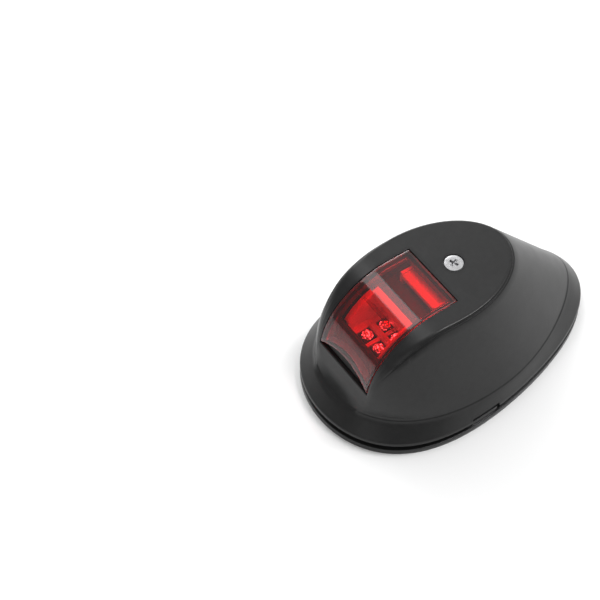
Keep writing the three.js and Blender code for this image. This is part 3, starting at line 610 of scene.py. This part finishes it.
def cover_screw():
    """Countersunk screw with a cross recess and a thread on the lower part of its shank."""
    top = CROWN.z - HEAD_DROP
    thread, thread_end = screw_thread(SCREW.tip + THREAD.start)
    body = lathe("cross_head_screw", [
        (0, SCREW.tip), (THREAD.point, SCREW.tip),
        (SCREW.shank - THREAD.crest, SCREW.tip + THREAD.cone), *thread,
        (SCREW.shank - THREAD.runout, thread_end), (SCREW.shank, CROWN.z - SCREW.sink),
        *((SCREW.head - inward, top - down) for inward, down in SCREW_HEAD), (0, top),
    ], SCREW.x, segments=72)
    angles = (RECESS.turn + k * math.pi / 2 for k in (0, 1))
    return carve(body, [("DIFFERENCE", recess_arm("arm", angle, SCREW.x, top)) for angle in angles])


# ---------------------------------------------------------------- LEDs
def box_points(x0, x1, y0, y1, z0, z1):
    """Corners of a box, in the order that BOX_FACES reads them."""
    return [(x, y, z) for z in (z0, z1) for x, y in ((x0, y0), (x1, y0), (x1, y1), (x0, y1))]


BOX_FACES = [(0, 3, 2, 1), (4, 5, 6, 7), (0, 1, 5, 4), (1, 2, 6, 5), (2, 3, 7, 6), (3, 0, 4, 7)]


def led_package(name, x, y, z):
    """Square body with a round well."""
    half, shoulder = LED.size / 2, z + LED.body
    base = make_object(name, box_points(x - half, x + half, y - half, y + half, z, shoulder), BOX_FACES)
    floor, brim = shoulder - WELL.depth, shoulder + WELL.over
    well = lathe("well", [(0, floor), (WELL.floor, floor), (WELL.mouth, brim), (0, brim)],
                 x, y, LED.segments)
    carve(base, [("DIFFERENCE", well)])
    bevel_edges(base, LED.round, 2)
    return base


def led_dome(name, x, y, shoulder):
    """Dome whose foot stands in the well."""
    spring, foot = shoulder - DOME.spring, shoulder - DOME.sunk
    arc = [(DOME.radius * math.cos(a), spring + DOME.height * math.sin(a))
           for a in np.linspace(0, math.pi / 2, DOME.steps)]
    profile = [(0, foot), (DOME.foot, foot), *arc[:-1], (0, arc[-1][1])]
    return lathe(name, profile, x, y, LED.segments)


def led_pad(name, edge, side, y, z):
    """Soldered foot beside the body's edge."""
    reach = edge + side * PAD.length
    low, high = min(edge, reach), max(edge, reach)
    corners = box_points(low, high, y - PAD.half, y + PAD.half, z, z + PAD.height)
    pad = make_object(name, corners, BOX_FACES)
    bevel_edges(pad, PAD.round, 3)
    return pad


def led(node, body_look, dome_look, pad_look):
    """Surface-mount LED: its package, with a dome and two soldered pads that ride on it."""
    low, high = (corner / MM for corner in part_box(node))
    x, y, z = (low.x + high.x) / 2, (low.y + high.y) / 2, low.z
    base = led_package(f"{node}_package", x, y, z)
    base.data.materials.append(body_look)
    dome = led_dome(f"{node}_dome", x, y, z + LED.body)
    dome.data.materials.append(dome_look)
    dome.parent = base
    for side, letter in ((-1, "a"), (1, "b")):
        pad = led_pad(f"{node}_pad_{letter}", x + side * LED.size / 2, side, y, z)
        pad.data.materials.append(pad_look)
        pad.parent = base
    return base


# ---------------------------------------------------------------- refined copies of CAD nodes
def welded(mesh):
    """Editable copy of a mesh with its points merged and its flat faces whole."""
    bm = bmesh.new()
    bm.from_mesh(mesh)
    bmesh.ops.remove_doubles(bm, verts=bm.verts, dist=WELD)
    bmesh.ops.dissolve_limit(bm, angle_limit=math.radians(0.5), verts=bm.verts, edges=bm.edges)
    return bm


def bevel_edges(obj, width, segments):
    """Rounds the sharp edges of a mesh, width in millimetres."""
    bm = welded(obj.data)
    limit = math.radians(30)
    sharp = [e for e in bm.edges if len(e.link_faces) == 2 and e.calc_face_angle(0) > limit]
    bmesh.ops.bevel(bm, geom=sharp, offset=width * MM, segments=segments, profile=0.5,
                    affect="EDGES", clamp_overlap=True, loop_slide=True)
    bmesh.ops.triangulate(bm, faces=[f for f in bm.faces if len(f.verts) > 4])
    bm.to_mesh(obj.data)
    bm.free()
    shade(obj)


def round_strand(obj):
    """Subdivides a faceted strand so that it reads as round wire."""
    bm = welded(obj.data)
    bm.to_mesh(obj.data)
    bm.free()
    modifier = obj.modifiers.new("round", "SUBSURF")
    modifier.levels = 1
    modifier.render_levels = 1
    evaluated = obj.evaluated_get(bpy.context.evaluated_depsgraph_get())
    mesh = bpy.data.meshes.new_from_object(evaluated)
    obj.modifiers.clear()
    obj.data = mesh
    shade(obj, 60)


def copied(node, name):
    """New object with the shape of a CAD node."""
    source = frame["nodes"][node].data
    mesh = bpy.data.meshes.new(name)
    mesh.from_pydata([v.co for v in source.vertices], [], [tuple(p.vertices) for p in source.polygons])
    obj = bpy.data.objects.new(name, mesh)
    bpy.context.scene.collection.objects.link(obj)
    return obj


# ---------------------------------------------------------------- materials
def set_range(node, start, end, low, high):
    """Makes a Map Range node map start to end onto low to high."""
    ranges = {"From Min": start, "From Max": end, "To Min": low, "To Max": high}
    for socket, value in ranges.items():
        node.inputs[socket].default_value = value


class Look:
    """A Principled material with helpers that drive its inputs from real-scale noise."""

    def __init__(self, name, color, roughness, **sockets):
        self.material = bpy.data.materials.new(name)
        self.material.use_nodes = True
        self.tree = self.material.node_tree
        self.shader = self.tree.nodes["Principled BSDF"]
        self.color = color
        self.set("Base Color", (*color, 1))
        self.set("Roughness", roughness)
        for socket, value in sockets.items():
            self.set(socket.replace("_", " "), value)
        self.place = self.node("ShaderNodeTexCoord").outputs["Object"]
        self.bump_end = None
        self.tint_end = None
        self.rough_end = None

    def set(self, socket, value):
        self.shader.inputs[socket].default_value = value

    def node(self, kind, **settings):
        node = self.tree.nodes.new(kind)
        for key, value in settings.items():
            setattr(node, key, value)
        return node

    def link(self, source, target):
        self.tree.links.new(source, target)

    def noise(self, size, detail=3.0, stretch=(1, 1, 1)):
        """Noise whose features are about size millimetres across."""
        mapping = self.node("ShaderNodeMapping")
        mapping.inputs["Scale"].default_value = stretch
        self.link(self.place, mapping.inputs["Vector"])
        noise = self.node("ShaderNodeTexNoise")
        noise.inputs["Scale"].default_value = 1 / (size * MM)
        noise.inputs["Detail"].default_value = detail
        self.link(mapping.outputs["Vector"], noise.inputs["Vector"])
        return noise.outputs["Fac"]

    def cells(self, size):
        """Cells about size millimetres across, such as the pits of a foam or a sandblasted mould."""
        cells = self.node("ShaderNodeTexVoronoi")
        cells.inputs["Scale"].default_value = 1 / (size * MM)
        self.link(self.place, cells.inputs["Vector"])
        return cells.outputs["Distance"]

    def spread(self, source, low, high, start=0.3, end=0.7):
        """Maps the middle of a noise onto the range low to high."""
        node = self.node("ShaderNodeMapRange")
        set_range(node, start, end, low, high)
        self.link(source, node.inputs["Value"])
        return node.outputs["Result"]

    def edges(self, radius):
        """1 on edges within radius millimetres, 0 on open faces."""
        bevel = self.node("ShaderNodeBevel", samples=4)
        bevel.inputs["Radius"].default_value = radius * MM
        geometry = self.node("ShaderNodeNewGeometry")
        dot = self.node("ShaderNodeVectorMath", operation="DOT_PRODUCT")
        self.link(bevel.outputs["Normal"], dot.inputs[0])
        self.link(geometry.outputs["Normal"], dot.inputs[1])
        return self.spread(dot.outputs["Value"], 1, 0, 0.9, 0.995)

    def rough(self, source, low, high):
        self.rough_end = self.spread(source, low, high)
        self.link(self.rough_end, self.shader.inputs["Roughness"])
        return self

    def gloss_edges(self, radius, roughness):
        """Smoother finish along the edges, laid over the roughness set so far."""
        mix = self.node("ShaderNodeMix", data_type="FLOAT")
        self.link(self.edges(radius), mix.inputs["Factor"])
        self.link(self.rough_end, mix.inputs["A"])
        mix.inputs["B"].default_value = roughness
        self.link(mix.outputs["Result"], self.shader.inputs["Roughness"])
        return self

    def tint(self, source, color, amount=1.0, start=0.3, end=0.7):
        """Mixes a second colour over what the base colour is so far."""
        mix = self.node("ShaderNodeMix", data_type="RGBA")
        self.link(self.spread(source, 0, amount, start, end), mix.inputs["Factor"])
        if self.tint_end:
            self.link(self.tint_end, mix.inputs["A"])
        else:
            mix.inputs["A"].default_value = (*self.color, 1)
        mix.inputs["B"].default_value = (*color, 1)
        self.tint_end = mix.outputs["Result"]
        self.link(self.tint_end, self.shader.inputs["Base Color"])
        return self

    def bump(self, source, height):
        """Adds a bump whose full range is height millimetres."""
        bump = self.node("ShaderNodeBump")
        bump.inputs["Distance"].default_value = height * MM
        bump.inputs["Strength"].default_value = 1.0
        self.link(source, bump.inputs["Height"])
        if self.bump_end:
            self.link(self.bump_end, bump.inputs["Normal"])
        self.bump_end = bump.outputs["Normal"]
        self.link(self.bump_end, self.shader.inputs["Normal"])
        return self


def grained_look(name, color):
    """Black ABS from a finely grained mould, glossier and paler where the edges are handled.

    The index of refraction is below that of real ABS, which keeps the shell dark under these lamps.
    """
    look = Look(name, color, 0.4, IOR=1.37)
    look.rough(look.noise(7, 4), 0.3, 0.35)
    look.gloss_edges(2.5, 0.2)
    look.tint(look.noise(2.2, 5), (0.017, 0.017, 0.017), 0.6)
    look.tint(look.edges(0.4), (0.028, 0.028, 0.029), 0.4, 0, 1)
    look.bump(look.noise(16, 1), 0.02)
    return look.bump(look.noise(0.45, 4), 0.02).material


def lens_look():
    """Clear red polycarbonate that lets lamps through to the pieces behind it."""
    red = (0.92, 0.035, 0.042)
    look = Look("clear_red_polycarbonate", red, 0.015, IOR=1.58)
    look.set("Transmission Weight", 1.0)
    look.rough(look.noise(9, 4), 0.006, 0.02)
    look.bump(look.noise(14, 0), 0.003)
    passing = look.node("ShaderNodeBsdfTransparent")
    passing.inputs["Color"].default_value = (*(math.sqrt(c) for c in red), 1)
    lamp = look.node("ShaderNodeLightPath")
    mix = look.node("ShaderNodeMixShader")
    look.link(lamp.outputs["Is Shadow Ray"], mix.inputs["Fac"])
    look.link(look.shader.outputs["BSDF"], mix.inputs[1])
    look.link(passing.outputs["BSDF"], mix.inputs[2])
    look.link(mix.outputs["Shader"], look.tree.nodes["Material Output"].inputs["Surface"])
    return look.material


def lens_edge_look():
    """The lens's unpolished side walls and flange, darker because light crosses them the long way."""
    look = Look("unpolished_red_edge", (0.22, 0.008, 0.01), 0.3, IOR=1.58)
    look.set("Transmission Weight", 0.88)
    look.rough(look.noise(6, 2), 0.3, 0.42)
    look.tint(look.noise(8, 2), (0.16, 0.006, 0.008), 0.6)
    return look.bump(look.noise(6, 1), 0.004).material


def rubber_look():
    look = Look("black_rubber", (0.012, 0.012, 0.0125), 0.75, IOR=1.5)
    look.rough(look.noise(3, 4), 0.65, 0.85)
    look.tint(look.noise(1.2, 5), (0.022, 0.021, 0.02), 0.7)
    return look.bump(look.noise(0.3, 3), 0.02).material


def foam_look():
    look = Look("closed_cell_foam", (0.02, 0.02, 0.02), 0.9, IOR=1.4)
    look.rough(look.noise(2, 3), 0.85, 0.98)
    look.tint(look.cells(0.6), (0.045, 0.045, 0.045), 0.8, 0.1, 0.6)
    return look.bump(look.cells(0.5), 0.12).material


def steel_look(name, color, low, high, scratch=0.25):
    look = Look(name, color, low, Metallic=1.0)
    look.rough(look.noise(1.1, 5), low, high)
    look.tint(look.noise(0.9, 4), tuple(0.8 * c for c in color), 0.5)
    return look.bump(look.noise(scratch, 4, (1, 9, 1)), 0.006).material


def brass_look():
    look = Look("turned_brass", (0.6, 0.4, 0.15), 0.3, Metallic=1.0)
    look.rough(look.noise(1.4, 4), 0.25, 0.45)
    look.tint(look.noise(1.8, 5), (0.35, 0.2, 0.07), 0.5)
    return look.bump(look.noise(0.25, 3, (1, 1, 8)), 0.02).material


def plastic_look(name, color, low, high, shade_color):
    """Moulded plastic with fine grain, uneven gloss and paler worn edges."""
    look = Look(name, color, low, IOR=1.49)
    look.rough(look.noise(4, 4), low, high)
    look.tint(look.noise(2.5, 5), shade_color, 0.5)
    worn = tuple(min(c * 1.35 + 0.01, 1) for c in color)
    look.tint(look.edges(0.3), worn, 0.5, 0, 1)
    return look.bump(look.noise(0.4, 4), 0.02).material


def insulation_look(name, color):
    look = Look(name, color, 0.35, IOR=1.5)
    look.rough(look.noise(2, 4), 0.3, 0.45)
    look.tint(look.noise(3, 4), tuple(0.6 * c for c in color), 0.5)
    return look.bump(look.noise(0.5, 3), 0.02).material


def board_look():
    look = Look("white_solder_mask", (0.74, 0.74, 0.7), 0.3, IOR=1.5)
    look.rough(look.noise(3, 4), 0.24, 0.4)
    look.tint(look.noise(5, 5), (0.62, 0.61, 0.55), 0.5)
    look.bump(look.noise(0.8, 2, (0.15, 1, 1)), 0.02)
    return look.bump(look.noise(0.2, 2), 0.01).material


def led_dome_look():
    """Pale silvery dome; small cells that glow of their own are painted glints that stand in for its
    sparkle.
    """
    look = Look("silvered_crystal_dome", (1.0, 0.95, 0.82), 0.08, IOR=1.55, Metallic=0.65)
    look.rough(look.noise(0.8, 4), 0.06, 0.2)
    look.tint(look.noise(0.9, 3), (1.0, 0.97, 0.9), 0.8)
    # painted glints: sparse cells on the dome glow white in place of sparkle reflected from the lamps
    look.set("Emission Color", (1.0, 0.93, 0.88, 1))
    painted_glints = look.spread(look.cells(0.8), 8.5, 0.0, 0.22, 0.42)
    look.link(painted_glints, look.shader.inputs["Emission Strength"])
    look.bump(look.cells(0.6), 0.3)
    return look.bump(look.noise(0.35, 3), 0.06).material


def reflector_look():
    look = Look("white_moulded_reflector", (0.82, 0.81, 0.78), 0.3, IOR=1.5)
    look.rough(look.noise(4, 4), 0.22, 0.4)
    look.tint(look.noise(6, 4), (0.74, 0.72, 0.68), 0.6)
    look.tint(look.edges(0.25), (0.9, 0.89, 0.87), 0.5, 0, 1)
    return look.bump(look.noise(0.5, 3), 0.02).material


# by material slot; the slot led has none here, because build() gives the LEDs their looks
LOOKS = {
    "shell": grained_look("grained_black_abs", (0.012, 0.012, 0.0122)),
    "lens": lens_look(),
    "seal_rubber": rubber_look(),
    "screw_steel": steel_look("bright_stainless", (0.52, 0.52, 0.53), 0.2, 0.36),
    "base_plastic": grained_look("base_abs", (0.02, 0.02, 0.0205)),
    "gasket_foam": foam_look(),
    "insert_brass": brass_look(),
    "terminal_plastic": plastic_look(
        "off_white_nylon", (0.68, 0.66, 0.58), 0.4, 0.55, (0.6, 0.57, 0.47)),
    "small_steel": steel_look("zinc_plated", (0.6, 0.61, 0.62), 0.25, 0.45, 0.18),
    "lead_red": insulation_look("red_insulation", (0.42, 0.012, 0.012)),
    "lead_black": insulation_look("black_insulation", (0.012, 0.012, 0.012)),
    "board": board_look(),
    "chip_black": plastic_look(
        "moulded_epoxy", (0.014, 0.014, 0.014), 0.5, 0.65, (0.02, 0.02, 0.02)),
    "reflector_plastic": reflector_look(),
    "shield_plastic": plastic_look(
        "matt_black_plastic", (0.011, 0.011, 0.011), 0.6, 0.75, (0.016, 0.016, 0.016)),
}
DOME_LOOK = led_dome_look()
LENS_EDGE_LOOK = lens_edge_look()


# ---------------------------------------------------------------- stage
def make_camera():
    data = bpy.data.cameras.new("camera")
    data.lens = CAMERA.focal
    data.sensor_width = SENSOR
    data.clip_start = 0.01
    camera = bpy.data.objects.new("camera", data)
    back = direction(CAMERA.azimuth, CAMERA.elevation)
    turn = back.to_track_quat("Z", "Y").to_matrix().to_4x4()
    camera.matrix_world = Matrix.Translation(CAMERA.position) @ turn
    bpy.context.scene.collection.objects.link(camera)
    bpy.context.scene.camera = camera


def make_floor():
    half = FLOOR.half
    points = [(-half, -half, 0), (half, -half, 0), (half, half, 0), (-half, half, 0)]
    floor = make_object("floor", points, [(0, 1, 2, 3)])
    look = Look("pale_floor", (0.93, 0.93, 0.93), 0.9, IOR=1.3)
    look.rough(look.noise(40, 2), 0.85, 0.95)
    look.set("Emission Color", (1, 1, 1, 1))
    look.set("Emission Strength", FLOOR.glow)
    floor.data.materials.append(look.material)


def softbox(name, toward, distance, width, length, radiance):
    """Rectangular lamp of an even brightness, facing the object."""
    data = bpy.data.lights.new(name, "AREA")
    data.shape = "RECTANGLE"
    data.size, data.size_y = width, length
    data.energy = radiance * math.pi * width * length
    lamp = bpy.data.objects.new(name, data)
    toward = Vector(toward).normalized()
    place = Vector(AIM) + toward * distance
    side = Vector((1, 0, 0))
    side = (side - toward * side.dot(toward)).normalized()
    up = toward.cross(side)
    turn = Matrix((side, up, toward)).transposed().to_4x4()
    lamp.matrix_world = Matrix.Translation(place) @ turn
    bpy.context.scene.collection.objects.link(lamp)


def make_sky():
    """Studio surround: a broad bright panel overhead that fades to a dim room."""
    world = bpy.data.worlds.new("studio")
    world.use_nodes = True
    tree = world.node_tree
    place = tree.nodes.new("ShaderNodeTexCoord")
    facing = tree.nodes.new("ShaderNodeVectorMath")
    facing.operation = "DOT_PRODUCT"
    facing.inputs[1].default_value = Vector(SKY.toward).normalized()
    fade = tree.nodes.new("ShaderNodeMapRange")
    fade.interpolation_type = "SMOOTHSTEP"
    set_range(fade, SKY.start, SKY.end, SKY.dim, SKY.bright)
    background = tree.nodes["Background"]
    background.inputs["Color"].default_value = (1, 1, 1, 1)
    tree.links.new(place.outputs["Generated"], facing.inputs[0])
    tree.links.new(facing.outputs["Value"], fade.inputs["Value"])
    tree.links.new(fade.outputs["Result"], background.inputs["Strength"])
    bpy.context.scene.world = world


def make_light():
    make_sky()
    for name, settings in LAMPS.items():
        softbox(name, *settings)
    bpy.context.scene.view_settings.view_transform = "Standard"


# ---------------------------------------------------------------- assembly
def body_of_node(node):
    return next(b for b, members in frame["record"]["behaviour"]["bodies"].items() if node in members)


SLOTS = {row["node"]: row["material_slot"] for row in frame["record"]["subparts"]}


def stands_for(obj, node, material=True):
    """Lets a visual piece take a CAD node's place, its body and its finish."""
    if material:
        obj.data.materials.clear()
        obj.data.materials.append(LOOKS[SLOTS[node]])
    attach(obj, body_of_node(node))
    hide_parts(node)


# node: (piece name, edge rounding, segments)
SOFTENED = {
    "lens_seal": ("lens_sill_seal", 0.08, 2),
    "screw_o_ring": ("o_ring", 0.2, 4),
    "base_plate": ("mounting_base", 0.2, 2),
    "base_gasket": ("foam_pad_ring", 0.2, 3),
    "cover_seal": ("rim_seal", 0.2, 3),
    "threaded_insert": ("brass_bush", 0.1, 2),
    "wire_grommet": ("cable_grommet", 0.25, 3),
    "terminal_block": ("terminal_body", 0.2, 2),
    "terminal_screw_1": ("clamp_screw_a", 0.12, 2),
    "terminal_screw_2": ("clamp_screw_b", 0.12, 2),
    "led_board": ("circuit_board", 0.08, 1),
    "resistor_1": ("chip_resistor_a", 0.03, 1),
    "resistor_2": ("chip_resistor_b", 0.03, 1),
    "polarity_diode": ("diode_body", 0.05, 2),
    "board_screw_1": ("module_screw_a", 0.05, 2),
    "board_screw_2": ("module_screw_b", 0.05, 2),
    "reflector": ("reflector_moulding", 0.18, 3),
    "rear_baffle": ("dark_baffle", 0.25, 3),
    "light_shield": ("shield_plate", 0.2, 3),
}
STRANDS = {"lead_positive": "wire_red", "lead_negative": "wire_black"}


def build():
    stands_for(housing_cover(), "housing_cover")
    stands_for(lens(), "lens", material=False)
    stands_for(cover_screw(), "cover_screw")
    for node in ("led_1", "led_2", "led_3", "led_4"):
        lamp = led(node, LOOKS["chip_black"], DOME_LOOK, LOOKS["small_steel"])
        stands_for(lamp, node, material=False)
    for node, (name, width, segments) in SOFTENED.items():
        piece = copied(node, name)
        bevel_edges(piece, width, segments)
        stands_for(piece, node)
    for node, name in STRANDS.items():
        piece = copied(node, name)
        round_strand(piece)
        stands_for(piece, node)


make_camera()
make_floor()
make_light()
build()
